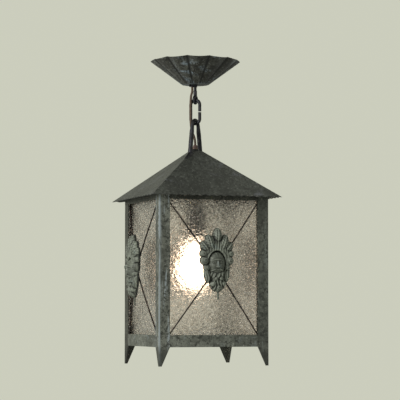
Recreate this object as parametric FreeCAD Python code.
"""Porch ceiling lantern: a square glazed lantern with a pyramid roof, hung by one open chain link
from a forged eye rod under a fluted ceiling cup. Millimetres, +Z up. The origin is on the ceiling
plane, midway between the two ceiling screws, and the lantern hangs below it. The wide face of the
photograph is the front, towards -Y."""

import FreeCAD, Part
import math
import os

V = FreeCAD.Vector
X_AXIS = V(1, 0, 0)
Y_AXIS = V(0, 1, 0)
Z_AXIS = V(0, 0, 1)
SIDES = {"front": 0, "right": 90, "rear": 180, "left": 270}
CORNERS = {"front_left": 0, "front_right": 90, "rear_right": 180, "rear_left": 270}

# ---- clearances ----
running = 0.05              # radial, a rod or a tube in its own hole
seat_gap = 0.3              # between pieces that are hooked or stand in one another
touch = 0.1                 # a brazed or soldered joint's film

# ---- curves drawn in flats ----
bar_flats = 12              # round a bar or a cord
lobe_flats = 5              # across one lobe of the cup
notch_flats = 4             # round one notch of the eave

# ---- ceiling cup ----
cup_radius = 80.0
cup_depth = 43.0
cup_floor_radius = 24.5
cup_wall = 1.2
cup_lobes = 12
cup_crease = 4.5            # how far a crease lies inside the lobes at the rim
cup_floor_crease = 0.9      # and at the floor
cup_rim_dip = 2.4           # the rim drops this far below the ceiling between two creases

# ---- ceiling bracket ----
bracket_width = 20.0
bracket_thick = 2.5
bracket_drop = 10.0         # how far the middle stands off the ceiling
bracket_middle = 60.0       # length of the lowered middle
bracket_slope = 8.0
bracket_foot = 20.0
ceiling_screw_spacing = 96.0
ceiling_screw_hole = 5.2

# ---- eye rod, nuts, clamp ----
rod_diameter = 5.0
eye_bend = 6.0              # radius of the eye on the rod's centre line
rod_top_margin = 3.0        # between the rod's end and the ceiling
rod_nut_flats = 8.0
rod_nut_height = 4.0
clamp_wall = 1.2
clamp_height = 4.5
clamp_screw_diameter = 2.6
clamp_screw_reach = 2.2

# ---- chain link ----
link_wire = 5.8
link_bend = 8.85            # radius of its ends on the centre line
link_straight = 25.0
link_gap = 1.8
link_top = 67.8             # outer top, below the ceiling
chain_turn = -45.0          # the link's plane, turned from the front

# ---- cable ----
cable_diameter = 4.2
cable_beside_rod = 5.6      # centre to centre, on the rod's left
cable_past_link = (-6.2, -6.7)  # along and across the link's plane
cable_joint_height = 92.0   # where the two lengths meet, beside the link
cable_below_block = 8.5     # straight drop under the terminal block
cable_above_floor = 4.5     # where it reaches the rod's side, above the cup's floor
cable_below_floor = 11.0    # where it leaves the rod's side, below the floor
cable_to_link = 9.5         # drop in which it moves out to the link's side
cable_below_joint = 20.0    # straight drop below the joint
cable_turn_drop = 35.5      # where it turns in between the bail's legs, below the joint
cable_turn_place = (-5.4, -1.8)
cable_above_bush = 10.0     # straight drop into the bush

# ---- terminal block ----
block_size = (20.0, 18.0, 8.0)
block_beside_rod = 6.0
block_entry = 3.5           # cable entry from the block's inner end

# ---- bail ----
bail_wire = 6.5
bail_bend = 12.0
bail_foot_out = 21.0        # leg centre line from the axis where it meets the roof
bail_pad_length = 12.0
bail_pad_width = 9.0
bail_pad_thick = 3.2

# ---- roof ----
roof_half = 119.0
roof_eave = 249.2           # eave edge, below the ceiling
roof_apex = 155.1           # where the four slopes would meet
roof_top = 162.0            # flat top
roof_sheet = 1.5
eave_teeth = 16             # along each side
eave_notch_depth = 3.2
eave_tooth_tip = 1.0
upper_rail_show = 5.8       # the upper rails' lower edge, below the eave
glass_above_eave = 10.2

# ---- body ----
body_half = 100.0
post_flange = 19.5
post_thick = 2.0
foot_bottom = 541.5
foot_height = 32.6          # free length of the feet below the rails
foot_tip = 4.7
rail_height = 20.8
rail_thick = 2.0
rail_shelf = 14.0

# ---- glazing ----
glass_thick = 4.0
glass_pocket = 3.1          # room for the crossed rods between flange and glass
bead_leg = 9.5
bead_thick = 1.0

# ---- crossed rods ----
brace_diameter = 2.4
brace_bulge = 9.5           # how far the crossing stands in front of the face
brace_corner_inset = 2.2    # rod end from the opening's edge
cross_below_middle = 0.95   # crossing, below the opening's middle
boss_diameter = 12.0
boss_thick = 3.6
stud_diameter = 4.0
stud_nut_flats = 7.0
stud_nut_height = 2.5

# ---- masks ----
mask_drop = {"front": 0.0, "right": 0.0, "rear": 0.0, "left": 9.0}
mask_lug = (4.0, 13.0, 3.0)
lug_from_crossing = 42.0    # the lug's upper end, below the crossing
hair_size = (30.0, 47.0, 7.5)   # half width, half height and relief, here and below
hair_rise = 9.0             # middle above the crossing, here and below
crown_leaf_size = (8.0, 17.0, 8.5)
crown_leaf_rise = 52.0
side_leaf_size = (8.0, 14.0, 9.0)
side_leaf_rise = 42.5
side_leaf_out = 14.0
side_leaf_lean = 31.0
fruit_size = (6.6, 7.0, 9.5)
fruit_rise = 16.3           # middle one of the three
fruit_spacing = 11.6
fruit_out = 24.0
fruit_curve = 2.6           # how far the outer two stand in
face_size = (15.5, 21.0, 14.5)
face_rise = 8.0
nose_size = (3.0, 7.0, 17.8)
nose_rise = 5.0
brow_size = (9.5, 2.4, 15.6)
brow_rise = 14.0
beard_size = (9.5, 20.0, 12.5)
beard_drop = 23.0
beard_lock_size = (7.5, 18.0, 10.5)
beard_lock_drop = 20.0
beard_lock_out = 10.0
beard_lock_lean = 14.0
tail_size = (5.0, 15.0, 8.0)
tail_drop = 11.0
tail_out = 18.5
tail_lean = 10.0

# ---- stem and lampholder ----
stem_diameter = 10.0
stem_bore = 7.0
stem_length = 107.0
stem_stand = 3.4            # stem end above the roof's flat top
stem_nut_flats = 13.0
stem_nut_height = 3.0
bush_top_diameter = 6.6
bush_height = 7.0
bush_spigot = 5.0
lead_diameter = 2.2
holder_radius = 19.0
holder_wall = 1.8
holder_cap_height = 20.0
holder_neck = 7.5
holder_skirt_height = 37.0
insert_thick = 11.0
thread_shell_radius = 14.1
thread_shell_wall = 0.6
thread_shell_length = 25.0

# ---- bulb ----
bulb_radius = 30.0
bulb_centre = 376.0         # globe centre, below the ceiling
bulb_length = 104.0
bulb_wall = 0.8
bulb_cap_radius = 13.2
bulb_cap_length = 23.0
bulb_thread_pitch = 3.6
bulb_neck_radius = 12.4
bulb_neck_length = 6.0
bulb_glass_in_cap = 3.0
bulb_shoulder_angle = 38.0  # where the neck's sweep meets the globe
bulb_shoulder_hollow = 1.6
bulb_tip_radius = 5.0
bulb_insulator_height = 5.0
bulb_thread_depth = 1.2


# ---- heights worked out from the sizes above ----
link_top_centre = -link_top - link_wire / 2
eye_bottom_centre = link_top_centre - link_wire / 2 - seat_gap - rod_diameter / 2
link_bottom_centre = link_top_centre - link_straight - 2 * link_bend
bail_top_centre = link_bottom_centre + link_wire / 2 + seat_gap + bail_wire / 2
roof_slope = (roof_eave - roof_apex) / roof_half
rail_bottom = foot_bottom - foot_height
rail_top = rail_bottom - rail_height
upper_rail_bottom = roof_eave + upper_rail_show
glass_top = roof_eave - glass_above_eave
cross_height = (upper_rail_bottom + rail_top) / 2 + cross_below_middle
opening_half = body_half - post_flange
glass_front = body_half - post_thick - glass_pocket
holder_top = -roof_top + stem_stand - stem_length + holder_neck


def box(x0, x1, y0, y1, z0, z1):
    return Part.makeBox(x1 - x0, y1 - y0, z1 - z0, V(x0, y0, z0))


def tube(outer_radius, inner_radius, z0, z1):
    ring = Part.makeCylinder(outer_radius, z1 - z0, V(0, 0, z0))
    return ring.cut(Part.makeCylinder(inner_radius, z1 - z0, V(0, 0, z0)))


def hexagon_nut(flats, height, hole_radius):
    """A nut on +Z from z = 0."""
    corner = flats / math.sqrt(3)
    points = [V(corner * math.cos(a), corner * math.sin(a), 0)
              for a in (math.radians(60 * i) for i in range(7))]
    body = Part.Face(Part.makePolygon(points)).extrude(V(0, 0, height))
    return body.cut(Part.makeCylinder(hole_radius, height))


def solid_from(faces):
    shell = Part.makeShell(faces)
    shell.sewShape()
    solid = Part.makeSolid(shell)
    if solid.Volume < 0:
        solid.reverse()
    return solid


def faceted(rings):
    """A closed solid of flat faces between rings of as many points each, closed by the end rings."""
    faces = [Part.Face(Part.makePolygon(ring + ring[:1])) for ring in (rings[0], rings[-1])]
    for low, high in zip(rings, rings[1:]):
        for i in range(len(low)):
            j = (i + 1) % len(low)
            faces.append(Part.Face(Part.makePolygon([low[i], low[j], high[j], high[i], low[i]])))
    return solid_from(faces)


def turned(edges):
    """A closed profile in the XZ plane, turned about Z."""
    return Part.Face(Part.Wire(edges)).revolve(V(0, 0, 0), Z_AXIS, 360)


def lines(points):
    """Straight edges through points given as (radius, height)."""
    corners = [V(r, 0, z) for r, z in points]
    return [Part.LineSegment(a, b).toShape() for a, b in zip(corners, corners[1:])]


def arc(start, middle, end):
    return Part.Arc(V(start[0], 0, start[1]), V(middle[0], 0, middle[1]), V(end[0], 0, end[1])).toShape()


def turned_copy(shape, angle):
    copy = shape.copy()
    copy.rotate(V(0, 0, 0), Z_AXIS, angle)
    return copy


def on_chain(shape):
    """Turns a piece from the chain's own axes, X along the link's plane, to the row's."""
    return turned_copy(shape, chain_turn)


def on_chain_point(along, across):
    return FreeCAD.Rotation(Z_AXIS, chain_turn).multVec(V(along, across, 0))


def rounded_path(points, radii):
    """Straight runs through the points, joined by tangent arcs of the given radii."""
    edges = []
    start = points[0]
    for before, corner, after, radius in zip(points, points[1:], points[2:], radii):
        inward = (before - corner).normalize()
        outward = (after - corner).normalize()
        half = inward.getAngle(outward) / 2
        setback = radius / math.tan(half)
        first = corner + inward * setback
        last = corner + outward * setback
        middle = corner + (inward + outward).normalize() * (radius / math.sin(half) - radius)
        edges.append(Part.LineSegment(start, first).toShape())
        edges.append(Part.Arc(first, middle, last).toShape())
        start = last
    edges.append(Part.LineSegment(start, points[-1]).toShape())
    return Part.Wire(edges)


def bar_section(centre, direction, outwards, diameter):
    """A bar's section in flats, square to a direction, with a corner outwards."""
    radius = outwards.normalize() * (diameter / 2)
    corners = [centre + FreeCAD.Rotation(direction, 360 * i / bar_flats).multVec(radius)
               for i in range(bar_flats)]
    return Part.makePolygon(corners + corners[:1])


def swept(path, diameter, normal):
    """A bar along a path of lines and tangent arcs that starts square to the normal."""
    start = path.OrderedEdges[0]
    direction = start.tangentAt(start.FirstParameter)
    section = bar_section(path.OrderedVertexes[0].Point, direction, normal.cross(direction), diameter)
    return path.makePipeShell([section], True, True)


def cable_radii(points):
    """The largest arc that each corner of a cable's route takes: 0.45 of its shorter run."""
    radii = []
    for before, corner, after in zip(points, points[1:], points[2:]):
        run = min((corner - before).Length, (after - corner).Length)
        turn = (corner - before).getAngle(after - corner)
        radii.append(0.45 * run / math.tan(turn / 2))
    return radii


# ---- ceiling cup: twelve lobes pressed in a shallow cone ----
def lobed_edges(lobe_radius, crease, crease_height, lobe_height):
    """Each lobe is an arch in flats, from crease to crease over the lobe's crown."""
    points = []
    for i in range(cup_lobes * lobe_flats + 1):
        turn = 2 * math.pi * i / (cup_lobes * lobe_flats)
        share = 1 - (2 * (i % lobe_flats) / lobe_flats - 1) ** 2
        radius = lobe_radius - crease * (1 - share)
        height = crease_height + (lobe_height - crease_height) * share
        points.append(V(radius * math.cos(turn), radius * math.sin(turn), height))
    return [Part.LineSegment(a, b).toShape() for a, b in zip(points, points[1:])]


def ceiling_cup():
    slant = math.hypot(cup_radius - cup_floor_radius, cup_depth)
    wall_across = cup_wall * slant / cup_depth
    flare = (cup_radius - cup_floor_radius) / cup_depth
    inner_floor = cup_floor_radius + cup_wall * flare - wall_across
    outer_rim = lobed_edges(cup_radius, cup_crease, 0, -cup_rim_dip)
    inner_rim = lobed_edges(cup_radius - wall_across, cup_crease, 0, -cup_rim_dip)
    outer_foot = lobed_edges(cup_floor_radius, cup_floor_crease, -cup_depth, -cup_depth)
    inner_foot = lobed_edges(inner_floor, cup_floor_crease, cup_wall - cup_depth, cup_wall - cup_depth)
    faces = [Part.makeRuledSurface(a, b)
             for low, high in ((outer_foot, outer_rim), (inner_rim, inner_foot), (outer_rim, inner_rim))
             for a, b in zip(low, high)]
    faces += [Part.Face(Part.Wire(outer_foot)), Part.Face(Part.Wire(inner_foot))]
    cup = solid_from(faces)
    below = -2 * cup_depth + 2 * cup_wall
    rod_hole = Part.makeCylinder(rod_diameter / 2 + running, cup_depth, V(0, 0, below))
    cable_hole = Part.makeCylinder(cable_diameter / 2 + seat_gap, cup_depth, V(-cable_beside_rod, 0, below))
    return cup.cut(rod_hole).cut(cable_hole)


# ---- ceiling bracket: a bridge strap, its middle stood off the ceiling ----
def ceiling_bracket():
    low = bracket_middle / 2
    high = low + bracket_slope
    end = high + bracket_foot
    rise = bracket_thick * math.tan(math.atan2(bracket_drop, bracket_slope) / 2)
    upper = [(-end, 0), (-high, 0), (-low, -bracket_drop), (low, -bracket_drop), (high, 0), (end, 0)]
    lower = [(end, -bracket_thick), (high - rise, -bracket_thick),
             (low - rise, -bracket_drop - bracket_thick), (rise - low, -bracket_drop - bracket_thick),
             (rise - high, -bracket_thick), (-end, -bracket_thick)]
    outline = Part.makePolygon([V(x, -bracket_width / 2, z) for x, z in upper + lower + upper[:1]])
    strap = Part.Face(outline).extrude(V(0, bracket_width, 0))
    strap = strap.cut(Part.makeCylinder(rod_diameter / 2 + running, 2 * bracket_drop, V(0, 0, -2 * bracket_drop)))
    for x in (-ceiling_screw_spacing / 2, ceiling_screw_spacing / 2):
        strap = strap.cut(Part.makeCylinder(ceiling_screw_hole / 2, 3 * bracket_thick, V(x, 0, -2 * bracket_thick)))
    return strap


def rod_nuts():
    nut = hexagon_nut(rod_nut_flats, rod_nut_height, rod_diameter / 2 + running)
    upper = nut.copy()
    upper.translate(V(0, 0, -bracket_drop))
    lower = nut.copy()
    lower.rotate(V(0, 0, 0), X_AXIS, 180)
    lower.translate(V(0, 0, -bracket_drop - bracket_thick))
    return Part.makeCompound([upper, lower])


# ---- eye rod: a bar forged round into a closed eye that carries the link ----
def eye_rod():
    eye_centre = V(0, 0, eye_bottom_centre + eye_bend)
    crown = eye_centre + V(0, 0, eye_bend)
    section = Part.Face(bar_section(crown, Y_AXIS, Z_AXIS, rod_diameter))
    eye = section.revolve(eye_centre, X_AXIS, 360)
    bar = Part.Face(bar_section(crown, Z_AXIS, X_AXIS, rod_diameter))
    shank = bar.extrude(V(0, 0, -rod_top_margin - crown.z))
    return on_chain(eye.fuse(shank).removeSplitter())


def terminal_block():
    length, width, height = block_size
    top = -bracket_drop - bracket_thick
    body = box(-block_beside_rod - length, -block_beside_rod, -width / 2, width / 2, top - height, top)
    groove = height / 3
    for y in (-width / 3, width / 3):
        slot = box(-block_beside_rod - length, -block_beside_rod, y - groove / 4, y + groove / 4,
                   top - height, top - height + groove)
        body = body.cut(slot)
    return body


# ---- clamp under the cup: it holds the cup on the rod and nips the cable ----
def clamp_plan(wall):
    """The rod and the cable side by side, with a wall round both."""
    at_rod = rod_diameter / 2 + wall
    at_cable = cable_diameter / 2 + wall
    return at_rod, at_cable


def cup_clamp():
    at_rod, at_cable = clamp_plan(clamp_wall)
    low = -cup_depth - clamp_height
    around_rod = Part.makeCylinder(at_rod, clamp_height, V(0, 0, low))
    around_cable = Part.makeCylinder(at_cable + seat_gap, clamp_height, V(-cable_beside_rod, 0, low))
    side = min(at_rod, at_cable)
    bridge = box(-cable_beside_rod, 0, -side, side, low, -cup_depth)
    body = around_rod.fuse([around_cable, bridge]).removeSplitter()
    body = body.cut(Part.makeCylinder(rod_diameter / 2 + running, clamp_height, V(0, 0, low)))
    body = body.cut(Part.makeCylinder(cable_diameter / 2 + seat_gap, clamp_height, V(-cable_beside_rod, 0, low)))
    return body.cut(clamp_screw_shank(running))


def clamp_screw_shank(clearance):
    outer = cable_beside_rod + cable_diameter / 2 + clamp_wall + seat_gap + clamp_screw_reach
    length = clamp_wall + clamp_screw_reach
    return Part.makeCylinder(clamp_screw_diameter / 2 + clearance, length,
                             V(-outer, 0, -cup_depth - clamp_height / 2), X_AXIS)


def clamp_screw():
    shank = clamp_screw_shank(0)
    outer = shank.BoundBox.XMin
    head = Part.makeCylinder(clamp_screw_diameter * 0.75, clamp_screw_reach - seat_gap,
                             V(outer, 0, -cup_depth - clamp_height / 2), X_AXIS)
    return shank.fuse(head).removeSplitter()


# ---- cable: fabric lead, from the terminal block beside the rod and past the link to the roof ----
def upper_cable_points():
    """From the terminal block's underside, straight down beside the rod, then past the link."""
    beside = V(-cable_beside_rod, 0, 0)
    past = on_chain_point(*cable_past_link)
    entry_height = -bracket_drop - bracket_thick - block_size[2]
    return [V(-block_beside_rod - block_entry, 0, entry_height),
            V(-block_beside_rod - block_entry, 0, entry_height - cable_below_block),
            beside + V(0, 0, cable_above_floor - cup_depth),
            beside + V(0, 0, -cup_depth - cable_below_floor),
            past + V(0, 0, -cup_depth - cable_below_floor - cable_to_link),
            past + V(0, 0, -cable_joint_height)]


def lower_cable_points():
    """On past the link, between the legs of the bail, and down into the bush."""
    past = on_chain_point(*cable_past_link)
    bush_end = -roof_top + stem_stand + bush_height
    return [past + V(0, 0, -cable_joint_height),
            past + V(0, 0, -cable_joint_height - cable_below_joint),
            on_chain_point(*cable_turn_place) + V(0, 0, -cable_joint_height - cable_turn_drop),
            V(0, 0, bush_end + cable_above_bush),
            V(0, 0, bush_end)]


def cable(points, name):
    radii = cable_radii(points)
    path = rounded_path(points, radii)
    solid = swept(path, cable_diameter, Y_AXIS)
    expected = path.Length * math.pi * cable_diameter ** 2 / 4
    print(name, "length", round(path.Length, 1), "volume ratio", round(solid.Volume / expected, 4),
          "radii", [round(r, 1) for r in radii])
    return solid


# ---- chain link: one open link, its gap in the middle of one side ----
def chain_link():
    middle = link_top_centre - link_bend - link_straight / 2
    top = V(0, 0, link_top_centre - link_bend)
    bottom = V(0, 0, link_bottom_centre + link_bend)
    out = V(link_bend, 0, 0)
    gap = V(0, 0, link_gap / 2)
    edges = [Part.LineSegment(V(link_bend, 0, middle) + gap, top + out).toShape(),
             Part.Arc(top + out, top + V(0, 0, link_bend), top - out).toShape(),
             Part.LineSegment(top - out, bottom - out).toShape(),
             Part.Arc(bottom - out, bottom - V(0, 0, link_bend), bottom + out).toShape(),
             Part.LineSegment(bottom + out, V(link_bend, 0, middle) - gap).toShape()]
    return on_chain(swept(Part.Wire(edges), link_wire, Y_AXIS))


# ---- bail: a bar bent over the link, its feet forged over two hips of the roof ----
def hip_depth(distance):
    """Depth of the roof's hip below the ceiling, at a distance from the axis."""
    return roof_apex + roof_slope * distance / math.sqrt(2)


def bail():
    """The legs run straight from the feet and touch the crown's arc."""
    centre = V(0, 0, bail_top_centre - bail_bend)
    foot = V(0, bail_foot_out, -hip_depth(bail_foot_out))
    run = foot - centre
    turn = math.acos(bail_bend / run.Length) - math.atan2(-run.z, run.y)
    near = centre + V(0, bail_bend * math.cos(turn), bail_bend * math.sin(turn))
    far = V(0, -near.y, near.z)
    path = Part.Wire([Part.LineSegment(V(0, -foot.y, foot.z), far).toShape(),
                      Part.Arc(far, V(0, 0, bail_top_centre), near).toShape(),
                      Part.LineSegment(near, foot).toShape()])
    bar = on_chain(swept(path, bail_wire, X_AXIS))
    pads = [on_chain(turned_copy(bail_pad(), angle)) for angle in (0, 180)]
    return bar.fuse(pads).cut(pyramid(0)).removeSplitter()


def bail_pad():
    """A block along the hip towards -Y of the chain's axes, still to be cut to the roof."""
    start = bail_foot_out - bail_pad_width / 2
    run = V(0, -bail_pad_length - bail_pad_width / 2, -hip_depth(start + bail_pad_length) + hip_depth(start))
    lift = bail_pad_thick
    profile = [V(-bail_pad_width / 2, -start, -hip_depth(start) - bail_pad_width),
               V(bail_pad_width / 2, -start, -hip_depth(start) - bail_pad_width),
               V(bail_pad_width / 2, -start, -hip_depth(start) + lift * 0.4),
               V(bail_pad_width / 4, -start, -hip_depth(start) + lift),
               V(-bail_pad_width / 4, -start, -hip_depth(start) + lift),
               V(-bail_pad_width / 2, -start, -hip_depth(start) + lift * 0.4)]
    return Part.Face(Part.makePolygon(profile + profile[:1])).extrude(run)


# ---- roof: a folded sheet, flat on top, with a toothed eave ----
def square_at(half, z):
    return [V(-half, -half, z), V(half, -half, z), V(half, half, z), V(-half, half, z)]


def pyramid(sink):
    """The space under the roof's slopes, sunk by a sheet's thickness measured square to it."""
    drop = sink * math.hypot(1, roof_slope)
    top = roof_top + sink
    bottom = foot_bottom + foot_height
    halves = [(depth - roof_apex - drop) / roof_slope for depth in (top, bottom)]
    return faceted([square_at(halves[0], -top), square_at(halves[1], -bottom)])


def eave_notches():
    """Round-bottomed notches that leave a row of pointed teeth along the front eave."""
    pitch = 2 * roof_half / eave_teeth
    half_chord = (pitch - eave_tooth_tip) / 2
    radius = (half_chord ** 2 + eave_notch_depth ** 2) / (2 * eave_notch_depth)
    half_turn = math.asin(half_chord / radius)
    down_slope = V(0, -1, -roof_slope).normalize()
    outwards = V(0, -roof_slope, 1).normalize()
    cutters = []
    for i in range(eave_teeth):
        edge = V(-roof_half + pitch * (i + 0.5), -roof_half, -roof_eave)
        centre = edge + down_slope * (radius - eave_notch_depth) - outwards * 4 * roof_sheet
        turns = [half_turn * (2 * step / notch_flats - 1) for step in range(notch_flats + 1)]
        curve = [centre + X_AXIS * (radius * math.sin(turn)) - down_slope * (radius * math.cos(turn))
                 for turn in turns]
        below = down_slope * 2 * radius
        outline = Part.makePolygon(curve + [curve[-1] + below, curve[0] + below, curve[0]])
        cutters.append(Part.Face(outline).extrude(outwards * 8 * roof_sheet))
    return cutters


def roof_shell():
    wide = 2 * foot_bottom
    below_eave = box(-wide, wide, -wide, wide, -wide, -roof_eave)
    sheet = pyramid(0).cut(pyramid(roof_sheet)).cut(below_eave)
    for angle in SIDES.values():
        for cutter in eave_notches():
            sheet = sheet.cut(turned_copy(cutter, angle))
    hole = Part.makeCylinder(stem_diameter / 2 + running, 4 * roof_sheet, V(0, 0, -roof_top - 3 * roof_sheet))
    return sheet.cut(hole)


# ---- body frame ----
def corner_post():
    """The front left post: an angle whose two flanges taper to a point below the rail."""
    out = -body_half
    top = -roof_apex
    flange = box(out, out + post_flange, out, out + post_thick, -foot_bottom, top)
    taper = Part.makePolygon([V(out + post_flange, out, -rail_bottom), V(out + post_flange, out, -foot_bottom),
                              V(out + foot_tip, out, -foot_bottom), V(out + post_flange, out, -rail_bottom)])
    flange = flange.cut(Part.Face(taper).extrude(V(0, post_thick, 0)))
    other = flange.mirror(V(0, 0, 0), V(1, -1, 0))
    return flange.fuse(other).removeSplitter().common(pyramid(roof_sheet))


def lower_rail():
    """The front rail: an angle, its upright between the flanges and its shelf under the glass."""
    reach = opening_half - seat_gap
    shelf_reach = body_half - rail_shelf - seat_gap
    upright = box(-reach, reach, -body_half, rail_thick - body_half, -rail_bottom, -rail_top)
    shelf = box(-shelf_reach, shelf_reach, post_thick - body_half, rail_shelf - body_half,
                -rail_bottom, rail_thick - rail_bottom)
    return upright.fuse(shelf).removeSplitter()


def upper_rail():
    reach = opening_half - seat_gap
    bar = box(-reach, reach, -body_half, rail_thick - body_half, -upper_rail_bottom, -roof_apex)
    return bar.common(pyramid(roof_sheet))


# ---- glazing ----
def glass_pane():
    reach = glass_front - glass_thick - seat_gap
    return box(-reach, reach, -glass_front, glass_thick - glass_front,
               rail_thick - rail_bottom, -glass_top)


def glazing_bead():
    """The front left corner's bead: an angle strip that keeps two panes forward."""
    out = glass_thick - glass_front + touch
    low = rail_thick - rail_bottom
    outer = box(out, out + bead_leg, out, out + bead_leg, low, -glass_top)
    inner = box(out + bead_thick, out + bead_leg, out + bead_thick, out + bead_leg, low, -glass_top)
    return outer.cut(inner)


# ---- crossed rods and their boss ----
def brace_crossing():
    return V(0, -body_half - brace_bulge, -cross_height)


def boss_front():
    return -body_half - brace_bulge - boss_thick / 2


def crossed_rods():
    centre = brace_crossing()
    end_y = -glass_front - brace_diameter / 2 - touch
    reach = opening_half + brace_corner_inset
    boss = Part.makeCylinder(boss_diameter / 2, boss_thick, V(0, boss_front(), -cross_height), Y_AXIS)
    rods = []
    for x in (-reach, reach):
        for z in (-upper_rail_bottom + brace_corner_inset, -rail_top - brace_corner_inset):
            run = V(x, end_y, z) - centre
            section = bar_section(centre, run, run.cross(Y_AXIS), brace_diameter)
            rods.append(Part.Face(section).extrude(run))
    body = boss.fuse(rods).removeSplitter()
    return body.cut(Part.makeCylinder(stud_diameter / 2 + running, 2 * boss_thick,
                                      V(0, boss_front() - boss_thick / 2, -cross_height), Y_AXIS))


def mask_nuts():
    nut = hexagon_nut(stud_nut_flats, stud_nut_height, stud_diameter / 2 + running)
    nut.rotate(V(0, 0, 0), X_AXIS, -90)
    nut.translate(V(0, boss_front() + boss_thick, -cross_height))
    return Part.makeCompound([turned_copy(nut, angle) for angle in SIDES.values()])


# ---- masks: a cast relief of a bearded head among leaves and fruit ----
def lobe(across, up, size, lean=0.0, sides=10):
    """A rounded lobe in flat facets: an oval on the mask's back, drawn in as it rises to its relief.
    Across, up and the lean are measured in the mask's own plane."""
    half_width, half_height, relief = size
    rings = []
    for reach in (1.0, 0.86, 0.5):
        rise = relief * math.sqrt(1 - reach ** 2) / math.sqrt(1 - 0.5 ** 2)
        ring = []
        for i in range(sides):
            turn = 2 * math.pi * (i + 0.5) / sides
            ring.append(V(reach * half_width * math.sin(turn), -rise, reach * half_height * math.cos(turn)))
        rings.append(ring)
    solid = faceted(rings)
    solid.rotate(V(0, 0, 0), Y_AXIS, lean)
    solid.translate(V(across, boss_front(), up - cross_height))
    return solid


def mask_lobes():
    pairs = []
    for side in (-1, 1):
        pairs.append(lobe(side * side_leaf_out, side_leaf_rise, side_leaf_size, side * side_leaf_lean))
        for place in (-1, 0, 1):
            out = fruit_out - fruit_curve * abs(place)
            pairs.append(lobe(side * out, fruit_rise + fruit_spacing * place, fruit_size, 0, 8))
        pairs.append(lobe(side * beard_lock_out, -beard_lock_drop, beard_lock_size, -side * beard_lock_lean))
        pairs.append(lobe(side * tail_out, -tail_drop, tail_size, -side * tail_lean, 8))
    hair = lobe(0, hair_rise, hair_size, 0, 14)
    crown_leaf = lobe(0, crown_leaf_rise, crown_leaf_size)
    face = lobe(0, face_rise, face_size, 0, 12)
    nose = lobe(0, nose_rise, nose_size, 0, 6)
    brow = lobe(0, brow_rise, brow_size, 0, 8)
    beard = lobe(0, -beard_drop, beard_size)
    return [hair, crown_leaf, face, nose, brow, beard] + pairs


def mask_relief():
    """The cast relief, flat behind, with a lug below the beard."""
    back = boss_front()
    parts = mask_lobes()
    width, length, thick = mask_lug
    lug_top = -cross_height - lug_from_crossing
    lug = box(-width / 2, width / 2, back - thick, back, lug_top - length, lug_top + length / 2)
    return parts[0].fuse(parts[1:] + [lug]).removeSplitter()


def mask(relief, drop):
    """A relief hung lower by drop, on its stud through the boss."""
    hung = relief.copy()
    hung.translate(V(0, 0, -drop))
    stud_root = boss_front() - stud_diameter
    stud_end = boss_front() + boss_thick + stud_nut_height + stud_diameter / 4
    stud = Part.makeCylinder(stud_diameter / 2, stud_end - stud_root, V(0, stud_root, -cross_height), Y_AXIS)
    return hung.fuse(stud).removeSplitter()


# ---- stem, bush, leads ----
def stem_tube():
    top = stem_stand - roof_top
    return tube(stem_diameter / 2, stem_bore / 2, top - stem_length, top)


def stem_nuts():
    nut = hexagon_nut(stem_nut_flats, stem_nut_height, stem_diameter / 2 + running)
    upper = nut.copy()
    upper.translate(V(0, 0, -roof_top))
    lower = nut.copy()
    lower.rotate(V(0, 0, 0), X_AXIS, 180)
    lower.translate(V(0, 0, -roof_top - roof_sheet))
    return Part.makeCompound([upper, lower])


def cable_bush():
    seat = stem_stand - roof_top
    spigot = stem_bore / 2 - running
    profile = [(0, seat - bush_spigot), (spigot, seat - bush_spigot), (spigot, seat),
               (stem_diameter / 2, seat), (stem_diameter / 2, seat + bush_height * 0.3),
               (bush_top_diameter / 2, seat + bush_height), (0, seat + bush_height),
               (0, seat - bush_spigot)]
    return turned(lines(profile))


def stem_leads():
    top = stem_stand - roof_top - bush_spigot
    bottom = insert_top()
    leads = [Part.makeCylinder(lead_diameter / 2, top - bottom, V(x, 0, bottom))
             for x in (-stem_bore / 4, stem_bore / 4)]
    return Part.makeCompound(leads)


# ---- lampholder ----
def skirt_top():
    return holder_top - holder_cap_height


def insert_top():
    return skirt_top() + holder_wall


def insert_bottom():
    return insert_top() - insert_thick


def holder_cap():
    """A moulded dome on a short neck, drawn as two cones, hollow to the same wall."""
    neck = stem_diameter / 2 + 2 * holder_wall
    bore = stem_diameter / 2 + running
    shoulder = holder_top - holder_neck
    low = skirt_top()
    rim = low + 2 * holder_wall
    turn_radius = (neck + 2 * holder_radius) / 3
    turn_height = (3 * shoulder + low) / 4
    profile = [(bore, holder_top), (neck, holder_top), (neck, shoulder), (turn_radius, turn_height),
               (holder_radius, rim), (holder_radius, low), (holder_radius - holder_wall, low),
               (holder_radius - holder_wall, rim), (turn_radius - holder_wall, turn_height - holder_wall),
               (bore, shoulder - holder_wall), (bore, holder_top)]
    return turned(lines(profile))


def holder_skirt():
    r = holder_radius
    w = holder_wall
    top = skirt_top()
    low = top - holder_skirt_height
    ledge = insert_bottom()
    profile = [(r - w, top), (r, top), (r, low + 2 * w), (r + w, low + w), (r + w, low), (r - w, low),
               (r - w, ledge - 2 * w), (r - 2 * w, ledge - w), (r - 2 * w, ledge), (r - w, ledge), (r - w, top)]
    return turned(lines(profile))


def holder_insert():
    disc = Part.makeCylinder(holder_radius - holder_wall - running, insert_thick, V(0, 0, insert_bottom()))
    recess = Part.makeCylinder(thread_shell_radius / 2, insert_thick / 2, V(0, 0, insert_bottom()))
    return disc.cut(recess)


def thread_shell():
    return tube(thread_shell_radius, thread_shell_radius - thread_shell_wall,
                insert_bottom() - thread_shell_length, insert_bottom())


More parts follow.
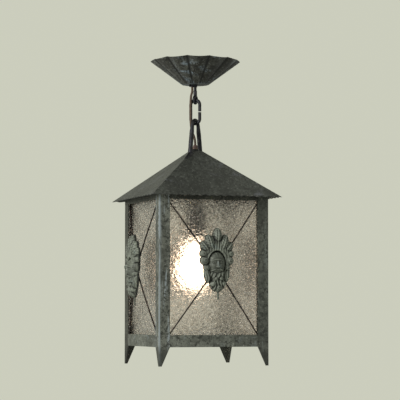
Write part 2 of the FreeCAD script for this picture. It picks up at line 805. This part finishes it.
def centre_contact():
    """A brass tongue, folded down from the recess to the bulb's tip."""
    top = insert_bottom() + insert_thick / 2
    tip = bulb_tip() + touch
    width = lead_diameter * 2
    bar = thread_shell_wall * 2
    reach = thread_shell_radius / 2 - 2 * running
    flat = box(-reach / 2, reach / 2, -width / 2, width / 2, top - bar, top)
    fall = box(-reach / 2, -reach / 2 + bar, -width / 2, width / 2, tip, top)
    toe = box(-reach / 2, reach / 2, -width / 2, width / 2, tip, tip + bar)
    return flat.fuse([fall, toe]).removeSplitter()


# ---- bulb ----
def bulb_tip():
    return -bulb_centre - bulb_radius + bulb_length


def bulb_glass_top():
    return bulb_tip() - bulb_cap_length + bulb_glass_in_cap


def bulb_space(inset):
    """Neck and globe as one solid, set in from the glass's outside."""
    radius = bulb_radius - inset
    neck = bulb_neck_radius - inset
    top = bulb_glass_top()
    waist = (neck, top - bulb_neck_length)
    shoulder = math.radians(bulb_shoulder_angle)
    on_globe = (radius * math.cos(shoulder), radius * math.sin(shoulder) - bulb_centre)
    middle = ((waist[0] + on_globe[0]) / 2 - bulb_shoulder_hollow, (waist[1] + on_globe[1]) / 2)
    bottom = (0, -bulb_centre - radius)
    belly = (radius, -bulb_centre)
    edges = lines([bottom, (0, top), (neck, top), waist])
    return turned(edges + [arc(waist, middle, on_globe), arc(on_globe, belly, bottom)])


def bulb_glass():
    return bulb_space(0).cut(bulb_space(bulb_wall))


def bulb_cap():
    """The screw cap: a rolled thread over its length, closed by the insulator and the tip."""
    tip = bulb_tip()
    r = bulb_cap_radius
    root = r - bulb_thread_depth
    low = tip - bulb_cap_length
    thread_top = tip - bulb_insulator_height
    profile = [(0, tip), (bulb_tip_radius, tip), (root, thread_top)]
    for i in range(int((thread_top - low) / bulb_thread_pitch) - 1):
        z = thread_top - i * bulb_thread_pitch
        profile += [(r, z - bulb_thread_pitch / 2), (root, z - bulb_thread_pitch)]
    bore = bulb_neck_radius + running
    seat = bulb_glass_top() + running
    profile += [(r, low), (bore, low), (bore, seat), (0, seat), (0, tip)]
    return turned(lines(profile))


def build():
    pieces = {
        "ceiling_bracket": ceiling_bracket(),
        "rod_nuts": rod_nuts(),
        "eye_rod": eye_rod(),
        "terminal_block": terminal_block(),
        "ceiling_cup": ceiling_cup(),
        "cup_clamp": cup_clamp(),
        "clamp_screw": clamp_screw(),
        "cable_upper": cable(upper_cable_points(), "cable_upper"),
        "chain_link": chain_link(),
        "cable_lower": cable(lower_cable_points(), "cable_lower"),
        "bail": bail(),
        "roof_shell": roof_shell(),
        "stem_tube": stem_tube(),
        "stem_nuts": stem_nuts(),
        "cable_bush": cable_bush(),
        "stem_leads": stem_leads(),
        "holder_cap": holder_cap(),
        "holder_skirt": holder_skirt(),
        "holder_insert": holder_insert(),
        "thread_shell": thread_shell(),
        "centre_contact": centre_contact(),
        "bulb_cap": bulb_cap(),
        "bulb_glass": bulb_glass(),
        "mask_nuts": mask_nuts(),
    }
    post = corner_post()
    bead = glazing_bead()
    for name, angle in CORNERS.items():
        pieces["post_" + name] = turned_copy(post, angle)
        pieces["bead_" + name] = turned_copy(bead, angle)
    per_side = {"lower_rail_": lower_rail(), "upper_rail_": upper_rail(), "glass_": glass_pane(),
                "crossed_rods_": crossed_rods()}
    relief = mask_relief()
    for name, angle in SIDES.items():
        for prefix, shape in per_side.items():
            pieces[prefix + name] = turned_copy(shape, angle)
        pieces["mask_" + name] = turned_copy(mask(relief, mask_drop[name]), angle)
    return pieces


os.makedirs("parts", exist_ok=True)
for node, shape in build().items():
    shape.exportStep("parts/" + node + ".step")
    print(node, "valid", shape.isValid(), "solids", len(shape.Solids), "volume", round(shape.Volume / 1000, 2))
